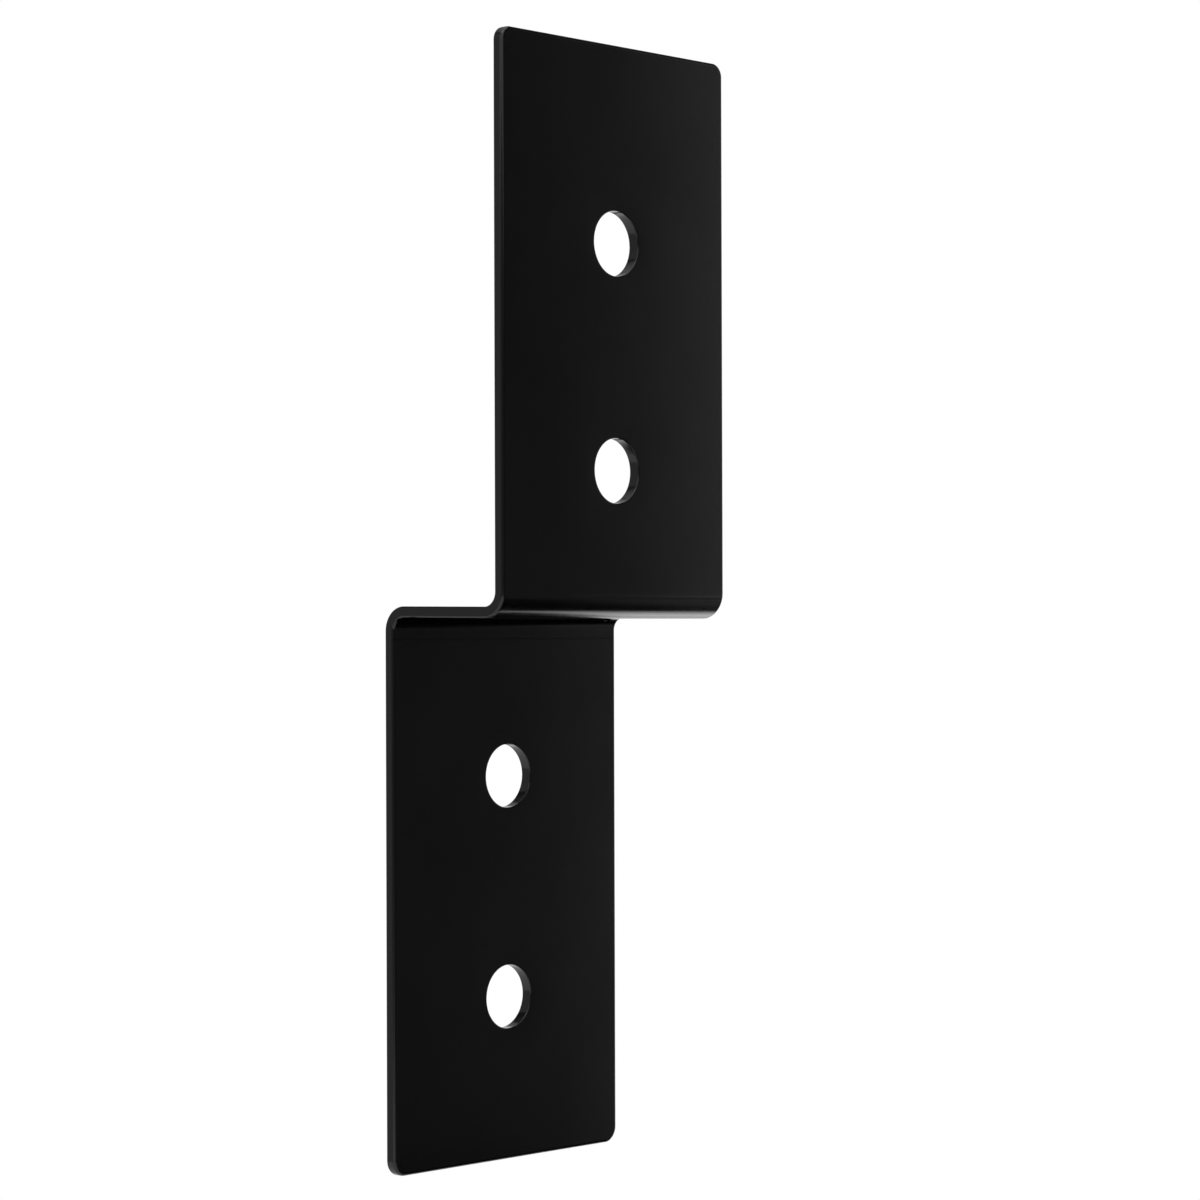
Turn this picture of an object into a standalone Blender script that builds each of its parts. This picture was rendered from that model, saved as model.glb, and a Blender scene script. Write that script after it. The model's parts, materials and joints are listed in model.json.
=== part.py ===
"""Joist tie: one steel strip, folded twice, that hangs a joist on the face of a post.

The upper leg covers the front of the joist. The strip then turns back under the joist as a
seat, and turns down again as the lower leg, which lies on the post. Each leg has two bolt
holes on the strip's centre line.

Frame: the origin is on the back face of the lower leg, midway between its two holes.
+X runs across the strip, +Y into the post and +Z up. All sizes are in metres.
"""

from math import pi, radians

import bmesh
import bpy
from mathutils import Vector

# Strip
WIDTH = 0.0832
THICKNESS = 0.0030
CORNER_RADIUS = 0.0036
EDGE_RADIUS = 0.0005

# Folds. The seat is as deep as a dressed joist is thick. The fold at the post is the tighter one.
SEAT_DEPTH = 0.0381
SEAT_FOLD_INNER_RADIUS = 0.0037
POST_FOLD_INNER_RADIUS = 0.0027

# Legs, each measured from the outer side of its own fold to its free end
UPPER_LEG_HEIGHT = 0.1443
LOWER_LEG_HEIGHT = 0.1427

# Bolt holes, measured from the top of the seat to the near hole, and on to the far hole
HOLE_DIAMETER = 0.0164
HOLE_SPACING = 0.05715
UPPER_HOLE_ABOVE_SEAT = 0.0342
LOWER_HOLE_BELOW_SEAT = 0.0435

# Smoothness of the round forms
FOLD_SEGMENTS = 12
CORNER_SEGMENTS = 6
EDGE_SEGMENTS = 2
HOLE_SEGMENTS = 48
SHARPEST_SMOOTH_ANGLE = radians(40)

# Finish
POWDER_COAT_BLACK = (0.010, 0.010, 0.010, 1.0)
POWDER_COAT_ROUGHNESS = 0.38

# Places that follow from the sizes above. Leg and seat places are those of the middle of the sheet.
SEAT_TOP_Z = HOLE_SPACING / 2 + LOWER_HOLE_BELOW_SEAT
SEAT_Z = SEAT_TOP_Z - THICKNESS / 2
TOP_Z = SEAT_TOP_Z - THICKNESS + UPPER_LEG_HEIGHT
BOTTOM_Z = SEAT_TOP_Z - LOWER_LEG_HEIGHT
LOWER_LEG_Y = -THICKNESS / 2
UPPER_LEG_Y = LOWER_LEG_Y - SEAT_DEPTH
SEAT_FOLD_RADIUS = SEAT_FOLD_INNER_RADIUS + THICKNESS / 2
POST_FOLD_RADIUS = POST_FOLD_INNER_RADIUS + THICKNESS / 2
CUTTER_LENGTH = 3 * THICKNESS
ACROSS = Vector((1.0, 0.0, 0.0))


def clear_scene():
    for obj in list(bpy.data.objects):
        bpy.data.objects.remove(obj, do_unlink=True)


def new_collection(name):
    collection = bpy.data.collections.new(name)
    bpy.context.scene.collection.children.link(collection)
    return collection


def powder_coated_steel():
    """Satin black powder coat. It hides the steel under it, so nothing metallic shows."""
    material = bpy.data.materials.new("black_powder_coat")
    material.use_nodes = True
    shader = material.node_tree.nodes["Principled BSDF"]
    shader.inputs["Base Color"].default_value = POWDER_COAT_BLACK
    shader.inputs["Metallic"].default_value = 0.0
    shader.inputs["Roughness"].default_value = POWDER_COAT_ROUGHNESS
    return material


def run_straight(bm, edge, step):
    """Carry the strip's leading edge along a step, and return the new leading edge."""
    made = bmesh.ops.extrude_edge_only(bm, edges=[edge])["geom"]
    ends = [item for item in made if isinstance(item, bmesh.types.BMVert)]
    bmesh.ops.translate(bm, verts=ends, vec=step)
    return bm.edges.get(ends)


def run_round(bm, edge, centre, angle):
    """Turn the strip's leading edge about a line across it, and return the new leading edge."""
    turned = bmesh.ops.spin(
        bm, geom=[edge, *edge.verts], cent=centre, axis=ACROSS, angle=angle, steps=FOLD_SEGMENTS
    )
    return next(item for item in turned["geom_last"] if isinstance(item, bmesh.types.BMEdge))


def folded_sheet():
    """The middle surface of the strip, from the top of the upper leg to the foot of the lower."""
    bm = bmesh.new()
    top = [bm.verts.new((side * WIDTH / 2, UPPER_LEG_Y, TOP_Z)) for side in (-1, 1)]
    edge = bm.edges.new(top)

    seat_fold = Vector((0.0, UPPER_LEG_Y + SEAT_FOLD_RADIUS, SEAT_Z + SEAT_FOLD_RADIUS))
    post_fold = Vector((0.0, LOWER_LEG_Y - POST_FOLD_RADIUS, SEAT_Z - POST_FOLD_RADIUS))
    edge = run_straight(bm, edge, Vector((0.0, 0.0, seat_fold.z - TOP_Z)))
    edge = run_round(bm, edge, seat_fold, pi / 2)
    edge = run_straight(bm, edge, Vector((0.0, post_fold.y - seat_fold.y, 0.0)))
    edge = run_round(bm, edge, post_fold, -pi / 2)
    edge = run_straight(bm, edge, Vector((0.0, 0.0, BOTTOM_Z - post_fold.z)))

    bmesh.ops.bevel(
        bm, geom=[*top, *edge.verts], affect="VERTICES", offset=CORNER_RADIUS,
        segments=CORNER_SEGMENTS, profile=0.5, material=-1,
    )
    mesh = bpy.data.meshes.new("joist_tie")
    bm.to_mesh(mesh)
    bm.free()
    return mesh


def hole_cutter(name, y, z, collection):
    """A round punch through one leg."""
    bpy.ops.mesh.primitive_cylinder_add(
        vertices=HOLE_SEGMENTS, radius=HOLE_DIAMETER / 2, depth=CUTTER_LENGTH,
        location=(0.0, y, z), rotation=(pi / 2, 0.0, 0.0),
    )
    cutter = bpy.context.object
    cutter.name = name
    cutter.hide_render = True
    cutter.display_type = "WIRE"
    for holder in list(cutter.users_collection):
        holder.objects.unlink(cutter)
    collection.objects.link(cutter)
    return cutter


def hole_cutters(collection):
    near_upper_z = SEAT_TOP_Z + UPPER_HOLE_ABOVE_SEAT
    near_lower_z = SEAT_TOP_Z - LOWER_HOLE_BELOW_SEAT
    places = {
        "upper_far_hole": (UPPER_LEG_Y, near_upper_z + HOLE_SPACING),
        "upper_near_hole": (UPPER_LEG_Y, near_upper_z),
        "lower_near_hole": (LOWER_LEG_Y, near_lower_z),
        "lower_far_hole": (LOWER_LEG_Y, near_lower_z - HOLE_SPACING),
    }
    return [hole_cutter(name, y, z, collection) for name, (y, z) in places.items()]


def add_thickness(obj):
    wall = obj.modifiers.new("sheet thickness", "SOLIDIFY")
    wall.thickness = THICKNESS
    wall.offset = 0.0
    wall.use_even_offset = True


def punch(obj, cutters):
    for cutter in cutters:
        cut = obj.modifiers.new(cutter.name, "BOOLEAN")
        cut.operation = "DIFFERENCE"
        cut.solver = "EXACT"
        cut.object = cutter


def round_sheared_edges(obj):
    """The sheared and punched edges, softened by tumbling and by the coat over them."""
    rounding = obj.modifiers.new("sheared edges", "BEVEL")
    rounding.width = EDGE_RADIUS
    rounding.segments = EDGE_SEGMENTS
    rounding.limit_method = "ANGLE"
    rounding.angle_limit = SHARPEST_SMOOTH_ANGLE
    rounding.harden_normals = True


def joist_tie(parts, cutters):
    tie = bpy.data.objects.new("joist_tie", folded_sheet())
    parts.objects.link(tie)
    tie.data.materials.append(powder_coated_steel())
    tie.data.shade_smooth()
    tie.data.set_sharp_from_angle(angle=SHARPEST_SMOOTH_ANGLE)
    add_thickness(tie)
    punch(tie, hole_cutters(cutters))
    round_sheared_edges(tie)
    return tie


def main():
    clear_scene()
    parts = new_collection("joist tie")
    cutters = new_collection("cutters")
    joist_tie(parts, cutters)


main()
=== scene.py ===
# %% [markdown]
# # A powder coated joist tie
#
# A joist tie is one strip of steel, about 3 mm thick, that a press folds twice into an offset
# strap. The upper leg covers the front of a joist, the short seat carries it, and the lower leg
# bolts to the post. This lesson rebuilds the strip finely enough for close reflections, gives it
# a satin black powder coat, and lights it the way a small glossy black thing is lit.
#
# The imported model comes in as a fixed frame. It says how large everything is and where it is, and
# the sizes below are read from it wherever they can be. The new strip stays a hair inside its box,
# so that no rounding error carries it past.

# %% The frame and its box
import json
from math import atan2, cos, pi, radians, sin, tan

import bmesh
import bpy
from mathutils import Matrix, Vector


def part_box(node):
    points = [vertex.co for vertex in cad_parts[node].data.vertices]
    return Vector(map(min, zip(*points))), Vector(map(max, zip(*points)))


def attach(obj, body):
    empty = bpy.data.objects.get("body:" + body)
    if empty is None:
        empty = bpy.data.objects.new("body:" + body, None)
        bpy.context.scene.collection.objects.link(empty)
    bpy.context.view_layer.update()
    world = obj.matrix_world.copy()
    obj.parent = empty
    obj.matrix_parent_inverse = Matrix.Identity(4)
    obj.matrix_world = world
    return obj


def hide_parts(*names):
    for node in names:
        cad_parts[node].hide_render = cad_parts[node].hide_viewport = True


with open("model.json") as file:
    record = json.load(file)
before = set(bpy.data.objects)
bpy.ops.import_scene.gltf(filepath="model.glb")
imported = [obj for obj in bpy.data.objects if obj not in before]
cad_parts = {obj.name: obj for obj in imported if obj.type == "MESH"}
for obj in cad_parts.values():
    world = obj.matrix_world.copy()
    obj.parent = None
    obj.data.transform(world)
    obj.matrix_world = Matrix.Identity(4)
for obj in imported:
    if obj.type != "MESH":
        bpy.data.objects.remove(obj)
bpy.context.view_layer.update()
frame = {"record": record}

HAIR = 0.000001


def in_mm(length, digits=2):
    """A length in metres as rounded millimetres, for printing."""
    return round(length * 1000, digits)


low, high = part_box("joist_tie")
low += Vector((HAIR, HAIR, HAIR))
high -= Vector((HAIR, HAIR, HAIR))
print("frame box in mm:", [in_mm(side) for side in high - low])

# %% [markdown]
# ## The sizes of the strip
#
# The box of the frame gives the width, the total height and the total depth. The sheet's
# thickness and the radii can't be read from a box, so they are written here as real sizes. The
# fold at the post is the tighter one. A fold springs open a little when the press lets go, so the
# seat tips back by half a degree. The four bolt holes are stated in the record as openings, and the
# middle of each opening is the middle of its hole. The pocket for the joist is stated there too.
# It starts a named clearance above the seat, which gives the seat's height.

# %% Sizes in metres
THICKNESS = 0.0030
SEAT_FOLD_INNER_RADIUS = 0.0037
POST_FOLD_INNER_RADIUS = 0.0032
UPPER_CORNER_RADIUS = 0.0034
LOWER_CORNER_RADIUS = 0.0040
SEAT_TILT = radians(0.5)
HOLE_DIAMETER = 0.0164
FRONT_EDGE_RADIUS = 0.00085
BACK_EDGE_RADIUS = 0.0005
FRONT_RIM_RADIUS = 0.0003
BACK_RIM_RADIUS = 0.0001
POCKET_CLEARANCE = 0.0013


def stated_opening(name):
    """The box of an opening that the record states, as its low and its high corner."""
    openings = frame["record"]["physics"]["openings"]
    return next(item["box_m"] for item in openings if item["name"] == name)


def middle_z(name):
    """The height of the middle of a stated opening."""
    low_corner, high_corner = stated_opening(name)
    return ((Vector(low_corner) + Vector(high_corner)) / 2).z


UPPER_HOLES_Z = [middle_z("upper_far_bolt_hole"), middle_z("upper_near_bolt_hole")]
LOWER_HOLES_Z = [middle_z("lower_near_bolt_hole"), middle_z("lower_far_bolt_hole")]
HOLES_Z = UPPER_HOLES_Z + LOWER_HOLES_Z
print("holes at Z in mm:", [in_mm(z) for z in HOLES_Z])

# %% Sizes that follow from the frame
# The places of the legs and of the seat are those of the middle of the sheet.
WIDTH = high.x - low.x
SEAT_DEPTH = high.y - low.y - THICKNESS
TOP_Z = high.z
BOTTOM_Z = low.z
LOWER_LEG_Y = high.y - THICKNESS / 2
UPPER_LEG_Y = LOWER_LEG_Y - SEAT_DEPTH
SEAT_FOLD_RADIUS = SEAT_FOLD_INNER_RADIUS + THICKNESS / 2
POST_FOLD_RADIUS = POST_FOLD_INNER_RADIUS + THICKNESS / 2
SEAT_TOP_Z = stated_opening("joist_pocket")[0][2] - POCKET_CLEARANCE
SEAT_Z = SEAT_TOP_Z - THICKNESS / 2
print("width and seat depth in mm:", in_mm(WIDTH), in_mm(SEAT_DEPTH))

# %% [markdown]
# ## Helpers
#
# Colours are written as the sRGB hex values that a colour picker shows, and the shader wants
# linear values, so one function turns the one into the other. Another adds a node to a material
# with its settings and its links in one line.

# %% Colour and node helpers
def linear(hex_colour):
    """Linear RGBA of an sRGB hex colour, by the standard's own curve."""
    channels = [int(hex_colour[i:i + 2], 16) / 255 for i in (1, 3, 5)]
    curve = [c / 12.92 if c <= 0.04045 else ((c + 0.055) / 1.055) ** 2.4 for c in channels]
    return (*curve, 1.0)


def add_node(tree, kind, inputs=(), **settings):
    """A new node. Inputs that hold a socket are linked, and the others are set."""
    node = tree.nodes.new(kind)
    for name, value in settings.items():
        setattr(node, name, value)
    for name, value in dict(inputs).items():
        if isinstance(value, bpy.types.NodeSocket):
            tree.links.new(value, node.inputs[name])
        else:
            node.inputs[name].default_value = value
    return node


print("middle grey as linear light:", round(linear("#808080")[0], 3))

# %% [markdown]
# ## The folded strip
#
# The real strip is sheared from a coil, punched flat, and folded twice on a press brake, so its
# wall is the same everywhere and both folds are round. It could be cut out of a block, but then
# nothing would keep the wall even. Here only the middle surface of the sheet is drawn: one line
# across the strip is carried down the upper leg, turned through the first fold, carried along
# the seat, turned back through the second fold, and carried down the lower leg. The line has
# three stretches, so that every bolt hole lies in a square cell of its own.

# %% Carrying a line across the strip
FOLD_STEPS = 28
HOLE_CELL = 0.026
ACROSS = Vector((1.0, 0.0, 0.0))


def straight(bm, line, step):
    """Carry the leading line of the strip along a step, and return the new line."""
    made = bmesh.ops.extrude_edge_only(bm, edges=line)["geom"]
    points = [item for item in made if isinstance(item, bmesh.types.BMVert)]
    bmesh.ops.translate(bm, verts=points, vec=step)
    edges = [item for item in made if isinstance(item, bmesh.types.BMEdge)]
    return [edge for edge in edges if all(point in points for point in edge.verts)]


def fold(bm, line, centre, angle):
    """Turn the leading line about a line across the strip, and return the new line."""
    points = list({point for edge in line for point in edge.verts})
    turned = bmesh.ops.spin(
        bm, geom=[*line, *points], cent=centre, axis=ACROSS, angle=angle, steps=FOLD_STEPS
    )
    return [item for item in turned["geom_last"] if isinstance(item, bmesh.types.BMEdge)]


def down_leg(bm, line, start_z, stops):
    """Carry the line down a leg through each height in turn."""
    for stop in stops:
        line = straight(bm, line, Vector((0.0, 0.0, stop - start_z)))
        start_z = stop
    return line


# %% The middle surface
def cell_edges_z(holes_z):
    """The heights at which the square cells round these holes begin and end, from the top."""
    return [z + side * HOLE_CELL / 2 for z in holes_z for side in (1, -1)]


strip = bmesh.new()
line_x = (-WIDTH / 2, -HOLE_CELL / 2, HOLE_CELL / 2, WIDTH / 2)
top_points = [strip.verts.new((x, UPPER_LEG_Y, TOP_Z)) for x in line_x]
line = [strip.edges.new(pair) for pair in zip(top_points, top_points[1:])]

# The seat leans back by its tilt, and the two folds eat the rest of its depth.
seat_run = Vector((0.0, cos(SEAT_TILT), sin(SEAT_TILT)))
folds_depth = (SEAT_FOLD_RADIUS + POST_FOLD_RADIUS) * (1 + sin(SEAT_TILT))
seat_length = (SEAT_DEPTH - folds_depth) / cos(SEAT_TILT)

seat_fold = Vector((0.0, UPPER_LEG_Y + SEAT_FOLD_RADIUS, SEAT_Z + SEAT_FOLD_RADIUS))
line = down_leg(strip, line, TOP_Z, [*cell_edges_z(UPPER_HOLES_Z), seat_fold.z])
line = fold(strip, line, seat_fold, pi / 2 + SEAT_TILT)
line = straight(strip, line, seat_run * seat_length)
post_fold = line[0].verts[0].co + ACROSS.cross(seat_run) * -POST_FOLD_RADIUS
line = fold(strip, line, post_fold, -pi / 2 - SEAT_TILT)
line = down_leg(strip, line, line[0].verts[0].co.z, [*cell_edges_z(LOWER_HOLES_Z), BOTTOM_Z])
print("lower leg off its place by mm:", in_mm(line[0].verts[0].co.y - LOWER_LEG_Y, 5))
print("middle surface:", len(strip.faces), "faces, down to Z in mm",
      in_mm(min(point.co.z for point in strip.verts)))

# %% [markdown]
# ## Bolt holes and corners
#
# A punch takes a round slug out of each cell. Cutting with a Boolean would leave long thin
# triangles across the leg, which a glossy surface shows at once. Carrying the square edge of the
# cell inwards and laying it on a circle leaves an even ring of four-sided faces instead. The four
# outer corners are rounded by a bevel on single points.

# %% Punch the holes
HOLE_SIDES = 96


def rim_place(offset):
    """The point of the hole's rim that belongs to a point of the square round it."""
    turn = atan2(offset.z, offset.x)
    quarter = round(turn / (pi / 2)) * pi / 2
    turn = quarter + tan(turn - quarter) * pi / 4
    return Vector((cos(turn), 0.0, sin(turn))) * HOLE_DIAMETER / 2


def punch(bm, middle):
    """Swap the cell round a hole for a ring of faces."""
    cell = min(bm.faces, key=lambda face: (face.calc_center_median() - middle).length)
    sides = list(cell.edges)
    bmesh.ops.delete(bm, geom=[cell], context="FACES_ONLY")
    split = bmesh.ops.bisect_edges(bm, edges=sides, cuts=HOLE_SIDES // 4 - 1)["geom_split"]
    square = {item for item in split if isinstance(item, bmesh.types.BMEdge)} | set(sides)
    made = bmesh.ops.extrude_edge_only(bm, edges=list(square))["geom"]
    for point in made:
        if isinstance(point, bmesh.types.BMVert):
            point.co = middle + rim_place(point.co - middle)


for z in UPPER_HOLES_Z:
    punch(strip, Vector((0.0, UPPER_LEG_Y, z)))
for z in LOWER_HOLES_Z:
    punch(strip, Vector((0.0, LOWER_LEG_Y, z)))
print("punched:", len(strip.faces), "faces")

# %% Round the corners
CORNER_STEPS = 12
SAME_PLACE = 1e-6

for end_z, radius in ((TOP_Z, UPPER_CORNER_RADIUS), (BOTTOM_Z, LOWER_CORNER_RADIUS)):
    corners = [
        point for point in strip.verts
        if abs(abs(point.co.x) - WIDTH / 2) < SAME_PLACE and abs(point.co.z - end_z) < SAME_PLACE
    ]
    bmesh.ops.bevel(
        strip, geom=corners, affect="VERTICES", offset=radius, segments=CORNER_STEPS,
        profile=0.5, material=-1,
    )
    print("corners rounded at Z", in_mm(end_z, 1), "mm:", len(corners))
bmesh.ops.recalc_face_normals(strip, faces=strip.faces)

# %% [markdown]
# ## Thickness
#
# A folded sheet is almost as thick round its folds as it was flat. Solidify gives the middle surface
# one even wall, half to each side. It also marks the points of the back side with a group, because
# the two sides of the strip get different edges.

# %% The wall
def apply_modifiers(obj):
    """Replace the object's mesh by what its modifiers make of it."""
    graph = bpy.context.evaluated_depsgraph_get()
    finished = bpy.data.meshes.new_from_object(obj.evaluated_get(graph))
    obj.modifiers.clear()
    obj.data = finished


strip_mesh = bpy.data.meshes.new("folded_strip")
strip.to_mesh(strip_mesh)
strip.free()
folded_strip = bpy.data.objects.new("folded_strip", strip_mesh)
bpy.context.scene.collection.objects.link(folded_strip)
BACK_SIDE = folded_strip.vertex_groups.new(name="back side").index

wall = folded_strip.modifiers.new("wall", "SOLIDIFY")
wall.thickness = THICKNESS
wall.offset = 0.0
wall.use_even_offset = True
wall.shell_vertex_group = "back side"
apply_modifiers(folded_strip)
print("wall:", in_mm(THICKNESS), "mm,", len(folded_strip.data.polygons), "faces")

# %% [markdown]
# ## Soft edges
#
# The shear rolls the front edge of a sheet over as it cuts and leaves the back edge crisper, and
# the coat flows round both. A bevel of less than a millimetre does that on each side, and it is
# what draws the thin bright lines along a black part. The punch rolls the front rims of the holes
# over a little and breaks out at the back, where the rims are nearly sharp. Weighted normals keep
# the big faces flat right up to all of them.

# %% Soften each kind of edge
SHARP_ANGLE = radians(40)

# What is softened, whether it runs round a hole, whether it is at the back, its radius, its steps
SOFT_EDGES = (
    ("front rims of the holes", True, False, FRONT_RIM_RADIUS, 3),
    ("back rims of the holes", True, True, BACK_RIM_RADIUS, 2),
    ("front edges of the strip", False, False, FRONT_EDGE_RADIUS, 6),
    ("back edges of the strip", False, True, BACK_EDGE_RADIUS, 5),
)


def on_hole_rim(edge):
    """Whether this edge runs round a bolt hole."""
    middle = (edge.verts[0].co + edge.verts[1].co) / 2
    return any(Vector((middle.x, middle.z - z)).length < HOLE_CELL / 2 for z in HOLES_Z)


def soften(mesh, round_a_hole, at_back, radius, steps):
    """Round the sharp edges of one kind, and return how many there were."""
    bm = bmesh.new()
    bm.from_mesh(mesh)
    groups = bm.verts.layers.deform.verify()
    picked = [
        edge for edge in bm.edges
        if edge.calc_face_angle(0.0) > SHARP_ANGLE and on_hole_rim(edge) == round_a_hole
        and all(BACK_SIDE in point[groups] for point in edge.verts) == at_back
    ]
    bmesh.ops.bevel(
        bm, geom=picked, affect="EDGES", offset=radius, segments=steps, profile=0.5, material=-1
    )
    bm.to_mesh(mesh)
    bm.free()
    return len(picked)


for name, round_a_hole, at_back, radius, steps in SOFT_EDGES:
    count = soften(folded_strip.data, round_a_hole, at_back, radius, steps)
    print("softened", name + ":", count, "edges by", in_mm(radius), "mm")

# %% Flat faces and a last look at the mesh
CUBIC_CM = 1e6

folded_strip.data.shade_smooth()
flat_faces = folded_strip.modifiers.new("flat faces", "WEIGHTED_NORMAL")
flat_faces.mode = "FACE_AREA"
flat_faces.keep_sharp = False
apply_modifiers(folded_strip)

check = bmesh.new()
check.from_mesh(folded_strip.data)
open_edges = sum(not edge.is_manifold for edge in check.edges)
print("folded strip:", len(folded_strip.data.polygons), "faces,", open_edges, "open edges,",
      round(check.calc_volume(signed=True) * CUBIC_CM, 2), "cubic centimetres")
check.free()

# %% [markdown]
# ## Satin black powder coat
#
# Powder coat is polyester dust, sprayed on dry and melted into a skin about 0.08 mm thick. It is
# a plastic with an IOR near 1.5 and no metal in it, and black pigment takes nearly all the light
# that enters. What the eye sees is therefore only the gloss on top: soft reflections that grow
# bright at grazing angles. The melt never flows quite level, which leaves waves about 2 mm
# apart and a few thousandths of a millimetre high, called orange peel. The oven doesn't cure it
# quite evenly either, so the gloss changes a little over patches of a few centimetres.

# %% The coat
COAT_BLACK = "#040404"
COAT_IOR = 1.5
COAT_ROUGHNESS = (0.15, 0.17)
ORANGE_PEEL_WAVE = 0.0022
ORANGE_PEEL_HEIGHT = 0.000004
ORANGE_PEEL_NOISE = {"Scale": 1 / ORANGE_PEEL_WAVE, "Detail": 1.5, "Roughness": 0.4}
CURE_PATCH = 0.030
CURE_NOISE = {"Scale": 1 / CURE_PATCH, "Detail": 2.0}

# Most of a noise texture's values lie between these two.
NOISE_RANGE = (0.3, 0.7)


def satin_black_powder_coat():
    """Black plastic gloss with orange peel, over steel that it hides."""
    material = bpy.data.materials.new("satin_black_powder_coat")
    material.use_nodes = True
    tree = material.node_tree
    shader = tree.nodes["Principled BSDF"]
    shader.inputs["Base Color"].default_value = linear(COAT_BLACK)
    shader.inputs["Metallic"].default_value = 0.0
    shader.inputs["IOR"].default_value = COAT_IOR

    place = add_node(tree, "ShaderNodeTexCoord").outputs["Object"]
    peel = add_node(tree, "ShaderNodeTexNoise", {"Vector": place, **ORANGE_PEEL_NOISE})
    bump = add_node(
        tree, "ShaderNodeBump",
        {"Height": peel.outputs["Fac"], "Distance": ORANGE_PEEL_HEIGHT, "Strength": 1.0},
    )
    cure = add_node(tree, "ShaderNodeTexNoise", {"Vector": place, **CURE_NOISE})
    gloss = add_node(
        tree, "ShaderNodeMapRange",
        {
            "Value": cure.outputs["Fac"],
            "From Min": NOISE_RANGE[0], "From Max": NOISE_RANGE[1],
            "To Min": COAT_ROUGHNESS[0], "To Max": COAT_ROUGHNESS[1],
        },
    )
    tree.links.new(gloss.outputs["Result"], shader.inputs["Roughness"])
    tree.links.new(bump.outputs["Normal"], shader.inputs["Normal"])
    return material


folded_strip.data.materials.clear()
folded_strip.data.materials.append(satin_black_powder_coat())
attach(folded_strip, "root")
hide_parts("joist_tie")
print("materials:", [material.name for material in folded_strip.data.materials])

# %% [markdown]
# ## The camera
#
# The picture is taken level with the seat, from the front left, with a long lens. The camera's
# place was found from the outline of the legs and the holes. It leans sideways by a sixth of a
# degree. The lens is raised a little instead of the camera being tipped, which keeps upright edges
# parallel.

# %% Camera
CAMERA_PLACE = Vector((-0.64532, -0.61925, 0.06686))
CAMERA_TURN = radians(47.849)
CAMERA_ROLL = radians(-0.165)
SENSOR_MM = 36.0
LENS_MM = 103.33
LENS_RISE = 0.02302
NEAREST_SEEN = 0.05
FARTHEST_SEEN = 30.0

camera_data = bpy.data.cameras.new("camera")
camera_data.sensor_width = SENSOR_MM
camera_data.lens = LENS_MM
camera_data.shift_y = LENS_RISE
camera_data.clip_start = NEAREST_SEEN
camera_data.clip_end = FARTHEST_SEEN
camera = bpy.data.objects.new("camera", camera_data)
camera.matrix_world = (
    Matrix.Translation(CAMERA_PLACE)
    @ Matrix.Rotation(-CAMERA_TURN, 4, "Z")
    @ Matrix.Rotation(pi / 2, 4, "X")
    @ Matrix.Rotation(CAMERA_ROLL, 4, "Z")
)
bpy.context.scene.collection.objects.link(camera)
bpy.context.scene.camera = camera

MIDDLE = (low + high) / 2
print("camera distance in mm:", in_mm((CAMERA_PLACE - MIDDLE).length, 0))

# %% [markdown]
# ## The studio
#
# A black glossy part has almost no colour of its own, so the room does the drawing. The room in
# front is dim, which keeps the big faces dark, and one tall soft box on the right gives them
# their slow gradient. White walls stand behind the part, and a pale floor lies under it: they
# show in the fold, in the hole walls and along the sheared edges. The white that the camera sees
# round the part comes from the world, for camera rays only, and adds no light. Gloss sees the dim
# room instead, because a white room all round would turn the black faces grey.

# %% World
WHITE = (1.0, 1.0, 1.0, 1.0)
DIM_ROOM = (0.05, 0.05, 0.05, 1.0)


def studio_world():
    """A world that is white to the camera and dim to everything else."""
    world = bpy.data.worlds.new("studio")
    world.use_nodes = True
    tree = world.node_tree
    path = add_node(tree, "ShaderNodeLightPath")
    colour = add_node(
        tree, "ShaderNodeMix",
        {"Factor": path.outputs["Is Camera Ray"]}, data_type="RGBA",
    )
    colour.inputs["A"].default_value = DIM_ROOM
    colour.inputs["B"].default_value = WHITE
    mixed = next(socket for socket in colour.outputs if socket.type == "RGBA")
    tree.links.new(mixed, tree.nodes["Background"].inputs["Color"])
    bpy.context.scene.world = world


studio_world()
bpy.context.scene.view_settings.view_transform = "Standard"
print("the dim room's light:", DIM_ROOM[0])

# %% [markdown]
# ### Soft boxes
#
# Each soft box is set by the directions it fills, seen from the part: from one azimuth to
# another, between two heights, at a distance. Azimuth 0 is the front of the part and 90 its right
# side. The energy follows from the size, so that the number given is the brightness of the box
# itself, where 1 is white.
#
# The right box gives the faces their gradient, and its dimmer foot carries it down to the end of
# the lower leg. The walls at the back light the side faces and the holes. The three cards on the
# camera's side are what the rounded left edges mirror, so that their bright line is strong at both
# ends and faint in the middle.

# %% Upright soft boxes
# Name, azimuths from and to, distance, heights from and to, brightness
SOFT_BOXES = (
    ("right_box", (50.85, 92.0), 3.0, (-0.6, 1.5), 0.7),
    ("right_box_foot", (54.0, 92.0), 3.0, (-1.1, -0.6), 0.45),
    ("back_right_wall", (95.0, 176.0), 2.6, (-1.2, 0.75), 1.0),
    ("back_left_wall", (184.0, 255.0), 2.6, (-1.2, 1.8), 0.34),
    ("back_right_upper_wall", (95.0, 176.0), 2.6, (0.75, 1.8), 0.4),
    ("back_top_wall", (130.0, 235.0), 2.6, (1.8, 3.6), 0.5),
    ("front_card", (0.0, 44.3), 3.0, (-1.1, 0.22), 0.05),
    ("camera_side_upper_card", (-110.0, 10.0), 1.6, (0.31, 2.2), 1.0),
    ("camera_side_middle_card", (-104.0, -24.0), 1.6, (-0.21, 0.31), 0.15),
    ("camera_side_lower_card", (-104.0, -24.0), 1.6, (-1.0, -0.21), 1.0),
)


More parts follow.
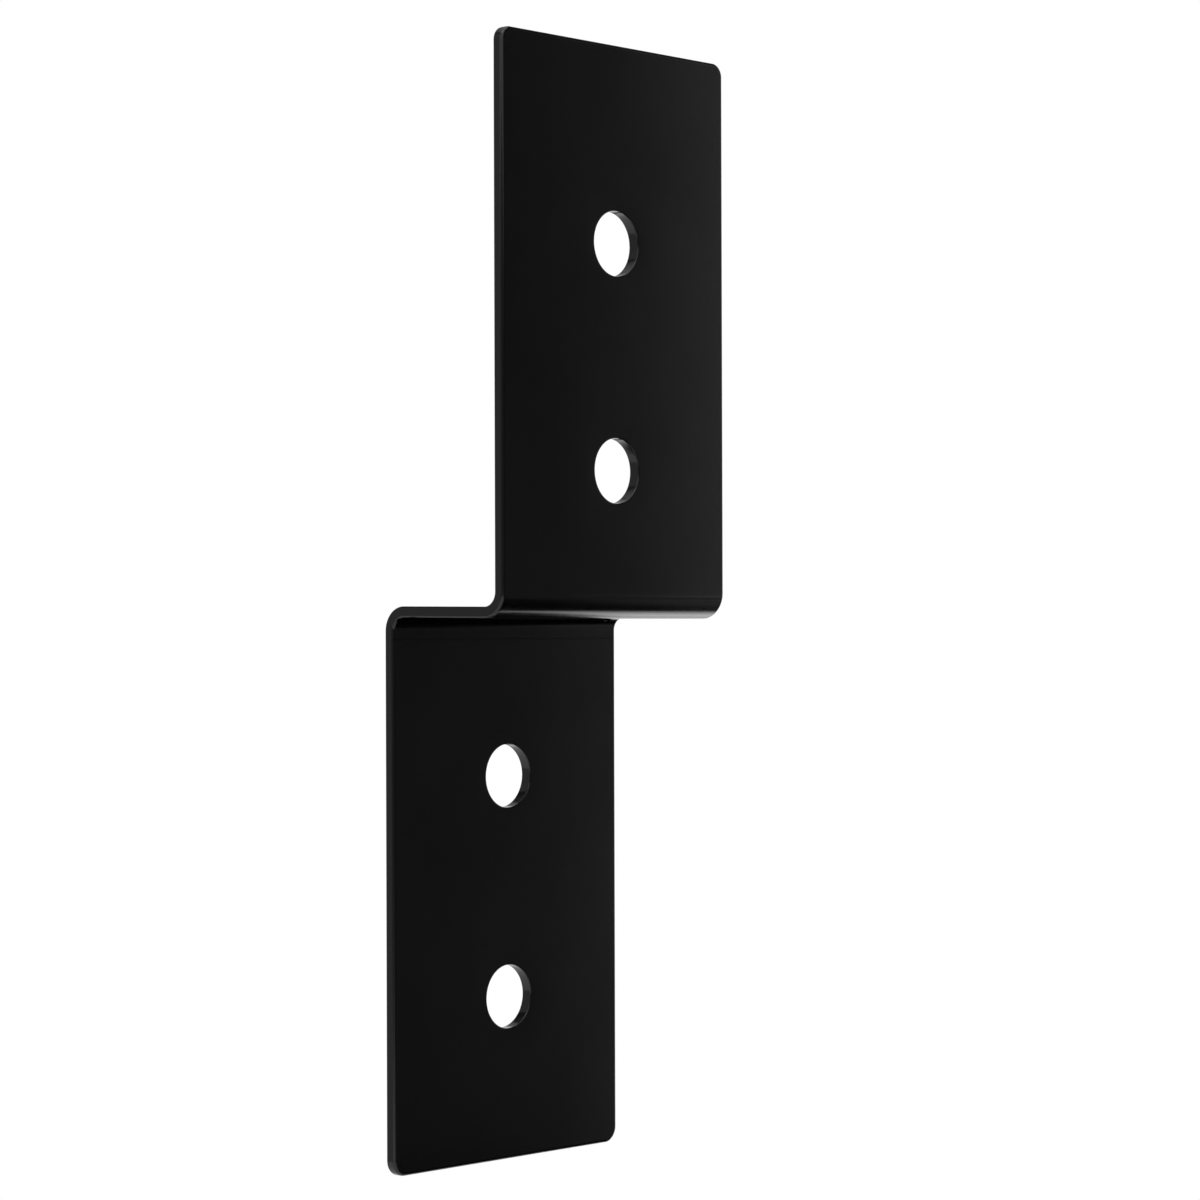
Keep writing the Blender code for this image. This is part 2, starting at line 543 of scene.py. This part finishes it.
def around(azimuth, distance, z):
    """A place at this many degrees from the front, turning to the right."""
    turn = radians(azimuth)
    return Vector((MIDDLE.x + sin(turn) * distance, MIDDLE.y - cos(turn) * distance, z))


def lamp(name, place, target, width, height, brightness):
    """A flat lamp that looks from one place to another and that the camera doesn't see."""
    data = bpy.data.lights.new(name, "AREA")
    data.shape = "RECTANGLE"
    data.size = width
    data.size_y = height
    data.energy = brightness * pi * width * height
    box = bpy.data.objects.new(name, data)
    box.location = place
    box.rotation_euler = (target - place).to_track_quat("-Z", "Y").to_euler()
    box.visible_camera = False
    bpy.context.scene.collection.objects.link(box)
    return box


def soft_box(name, azimuths, distance, heights, brightness):
    """An upright soft box that fills these azimuths and heights as seen from the part."""
    half_angle = radians(azimuths[1] - azimuths[0]) / 2
    width = 2 * distance * sin(half_angle)
    height = heights[1] - heights[0]
    place = around(sum(azimuths) / 2, distance * cos(half_angle), sum(heights) / 2)
    target = Vector((MIDDLE.x, MIDDLE.y, place.z))
    lamp(name, place, target, width, height, brightness)


for settings in SOFT_BOXES:
    soft_box(*settings)
print("upright soft boxes:", len(bpy.data.lights))

# %% [markdown]
# ### Light from above
#
# The box overhead lights the tops of the edges. The fill beside it only brings the floor to its own
# colour: gloss doesn't see it, so it leaves no reflection on the part.

# %% Boxes overhead
OVERHEAD_SIDE = 2.8


def overhead(name, place, brightness):
    """A square soft box that hangs at this place and looks straight down."""
    below = Vector((place[0], place[1], 0.0))
    return lamp(name, Vector(place), below, OVERHEAD_SIDE, OVERHEAD_SIDE, brightness)


overhead("top_box", (-0.2, -0.6, 2.4), 1.4)
fill = overhead("top_fill", (0.0, 0.0, 2.6), 0.9)
fill.visible_glossy = False
print("with the boxes overhead:", len(bpy.data.lights))

# %% [markdown]
# ### Floor
#
# The floor is a pale painted disc a hand below the part, so that it takes a soft shadow. A sheet
# that curves up behind the part would do as well, but it would hide the walls of light there.
# Towards its rim the disc turns to the plain white of the backdrop, for the camera only.

# %% Floor
FLOOR_PAINT = "#f0f0f0"
DULL = 0.9
FLOOR_DROP = 0.12
FLOOR_RADIUS = 0.66
FLOOR_SIDES = 128
FLOOR_FADE = (0.36, 0.56)
FLOOR_Z = low.z - FLOOR_DROP


def stage_object(name, bm, material):
    """A piece of the studio, which isn't part of the tie."""
    mesh = bpy.data.meshes.new(name)
    bm.to_mesh(mesh)
    bm.free()
    obj = bpy.data.objects.new(name, mesh)
    bpy.context.scene.collection.objects.link(obj)
    mesh.materials.append(material)
    return obj


def pale_floor_paint():
    """Dull paint that the camera sees turn to white from one distance to another."""
    material = bpy.data.materials.new("pale_floor_paint")
    material.use_nodes = True
    tree = material.node_tree
    shader = tree.nodes["Principled BSDF"]
    shader.inputs["Base Color"].default_value = linear(FLOOR_PAINT)
    shader.inputs["Roughness"].default_value = DULL
    place = add_node(tree, "ShaderNodeTexCoord")
    middle = add_node(
        tree, "ShaderNodeVectorMath",
        {0: place.outputs["Object"], 1: (MIDDLE.x, MIDDLE.y, FLOOR_Z)}, operation="DISTANCE",
    )
    rim = add_node(
        tree, "ShaderNodeMapRange",
        {"Value": middle.outputs["Value"], "From Min": FLOOR_FADE[0], "From Max": FLOOR_FADE[1]},
        interpolation_type="SMOOTHSTEP",
    )
    path = add_node(tree, "ShaderNodeLightPath")
    seen_rim = add_node(
        tree, "ShaderNodeMath", {0: rim.outputs["Result"], 1: path.outputs["Is Camera Ray"]},
        operation="MULTIPLY",
    )
    white = add_node(tree, "ShaderNodeEmission", {"Color": WHITE, "Strength": 1.0})
    mix = add_node(
        tree, "ShaderNodeMixShader",
        {0: seen_rim.outputs["Value"], 1: shader.outputs["BSDF"], 2: white.outputs["Emission"]},
    )
    tree.links.new(mix.outputs["Shader"], tree.nodes["Material Output"].inputs["Surface"])
    return material


disc = bmesh.new()
bmesh.ops.create_circle(disc, cap_ends=True, segments=FLOOR_SIDES, radius=FLOOR_RADIUS)
bmesh.ops.translate(disc, verts=disc.verts, vec=(MIDDLE.x, MIDDLE.y, FLOOR_Z))
stage_object("floor", disc, pale_floor_paint())
print("floor at Z in mm:", in_mm(FLOOR_Z))

# %% [markdown]
# ### The flag on the front right
#
# The round underside of the fold mirrors the floor to the right of the part, so what lies there is
# what draws the fold. A black card on the front right makes the dark band above the bright line.
# Studios call such a card a flag. Its fade to grey across two of its edges is painted shade, a
# soft shadow edge drawn into the card, because a hard edge would show as a line. Only gloss sees
# the cards, so they cast no shadow on the floor.

# %% A card that lies on the floor
CARD_BLACK = "#030303"
CARD_GREY = "#929292"
CARD_HEIGHT = 0.004
SECTOR_STEPS = 24
UP = Vector((0.0, 0.0, 1.0))


def card_sector(radii, azimuths):
    """A flat sector of card that lies just over the floor round the part."""
    sector = bmesh.new()
    ends = [sector.verts.new(around(azimuths[0], radius, FLOOR_Z + CARD_HEIGHT)) for radius in radii]
    side = sector.edges.new(ends)
    bmesh.ops.spin(
        sector, geom=[side, *ends], cent=(MIDDLE.x, MIDDLE.y, 0.0), axis=UP,
        angle=radians(azimuths[1] - azimuths[0]), steps=SECTOR_STEPS,
    )
    return sector


def lay_card(name, sector, material):
    """A card that only gloss sees."""
    card = stage_object(name, sector, material)
    card.visible_camera = False
    card.visible_shadow = False
    card.visible_diffuse = False
    print(name + ":", len(card.data.polygons), "faces")


# %% The front flag
FRONT_FLAG_RADII = (0.08, FLOOR_RADIUS)
FRONT_FLAG_AZIMUTHS = (8.0, 87.0)

# Each fade of the painted shade runs along one direction over the floor, and starts and ends at
# these distances.
FLAG_FADES = (((1.0, 0.0, 0.0), 0.32, 0.44), ((1.0, 0.85, 0.0), 0.123, 0.203))


def painted_shade_card():
    """Card that is black next to the part and fades to grey across two of its edges, as painted
    shade.
    """
    material = bpy.data.materials.new("painted_shade_card")
    material.use_nodes = True
    tree = material.node_tree
    shader = tree.nodes["Principled BSDF"]
    shader.inputs["Roughness"].default_value = DULL
    shader.inputs["Specular IOR Level"].default_value = 0.0
    place = add_node(tree, "ShaderNodeTexCoord")
    fades = []
    for across, start, end in FLAG_FADES:
        along = add_node(
            tree, "ShaderNodeVectorMath", {0: place.outputs["Object"], 1: across},
            operation="DOT_PRODUCT",
        )
        fades.append(add_node(
            tree, "ShaderNodeMapRange",
            {"Value": along.outputs["Value"], "From Min": start, "From Max": end},
        ))
    both = add_node(
        tree, "ShaderNodeMath", {0: fades[0].outputs["Result"], 1: fades[1].outputs["Result"]},
        operation="MULTIPLY",
    )
    grey = add_node(tree, "ShaderNodeMix", {"Factor": both.outputs["Value"]}, data_type="RGBA")
    grey.inputs["A"].default_value = linear(CARD_BLACK)
    grey.inputs["B"].default_value = linear(CARD_GREY)
    mixed = next(socket for socket in grey.outputs if socket.type == "RGBA")
    tree.links.new(mixed, shader.inputs["Base Color"])
    return material


lay_card("front_flag", card_sector(FRONT_FLAG_RADII, FRONT_FLAG_AZIMUTHS), painted_shade_card())

# %% [markdown]
# ### The flag behind the part and the painted shade under the fold
#
# A band of black card behind the part makes the dark wedge on the left of the underside. It is the
# strip of a sector that lies between two slanting lines, and the rest is cut away, because a whole
# sector would blacken the walls of the holes too. A strip of black a few millimetres wide, just
# under the fold at the post, is painted shade: it keeps the hollow of that fold black in the gloss.

# %% The back flag
BACK_FLAG_RADII = (0.05, 1.2)
BACK_FLAG_AZIMUTHS = (93.5, 212.0)

# Where each slanting line crosses the X axis, and the side on which the card is cut away
BAND_EDGES = ((0.25, 1.0), (0.14, -1.0))
BAND_SLANT = -0.66

back = card_sector(BACK_FLAG_RADII, BACK_FLAG_AZIMUTHS)
for reach, side in BAND_EDGES:
    bmesh.ops.bisect_plane(
        back, geom=[*back.verts, *back.edges, *back.faces],
        plane_co=(reach, 0.0, 0.0), plane_no=(side, BAND_SLANT * side, 0.0), clear_outer=True,
    )
dull_black = bpy.data.materials.new("dull_black")
dull_black.use_nodes = True
card_face = dull_black.node_tree.nodes["Principled BSDF"]
card_face.inputs["Base Color"].default_value = linear(CARD_BLACK)
card_face.inputs["Specular IOR Level"].default_value = 0.0
lay_card("back_flag", back, dull_black)

# %% The shade under the fold
# The low and the high corner of each patch of card, in X and Y
SHADE_PATCHES = (((-0.044, -0.0050), (0.050, -0.0029)), ((0.042, -0.0029), (0.050, -0.0012)))
SHADE_Z = 0.064

# A square of one metre, so that its scale is the size that a patch gets
HALF_SQUARE = 0.5

# The patches are painted shade: black that only gloss sees, laid in the hollow of the fold.
shade = bmesh.new()
for near, far in SHADE_PATCHES:
    patch = bmesh.ops.create_grid(shade, x_segments=1, y_segments=1, size=HALF_SQUARE)["verts"]
    place = ((near[0] + far[0]) / 2, (near[1] + far[1]) / 2, SHADE_Z)
    bmesh.ops.scale(shade, verts=patch, vec=(far[0] - near[0], far[1] - near[1], 1.0))
    bmesh.ops.translate(shade, verts=patch, vec=place)
lay_card("fold_shade", shade, dull_black)

# %% [markdown]
# ### Low panels
#
# Three panels of light lie on the right, a bright one between two dimmer ones, and light the rest
# of the fold's underside. They face up, so they add nothing to the floor. They lie lower than the
# cards, so a card hides what is under it.

# %% Low panels
PANEL_HEIGHT = 0.002
PANEL_WIDTH = 0.42
PANEL_MIDDLE_X = 0.41

# Name, nearest and farthest Y, brightness
LOW_PANELS = (
    ("low_pad_near", -0.035, 0.015, 0.42),
    ("low_pad", 0.015, 0.19, 1.45),
    ("low_pad_far", 0.19, 0.45, 0.3),
)

for name, near, far, brightness in LOW_PANELS:
    place = Vector((PANEL_MIDDLE_X, (near + far) / 2, FLOOR_Z + PANEL_HEIGHT))
    lamp(name, place, place + UP, PANEL_WIDTH, far - near, brightness)
print("lamps in all:", len(bpy.data.lights))
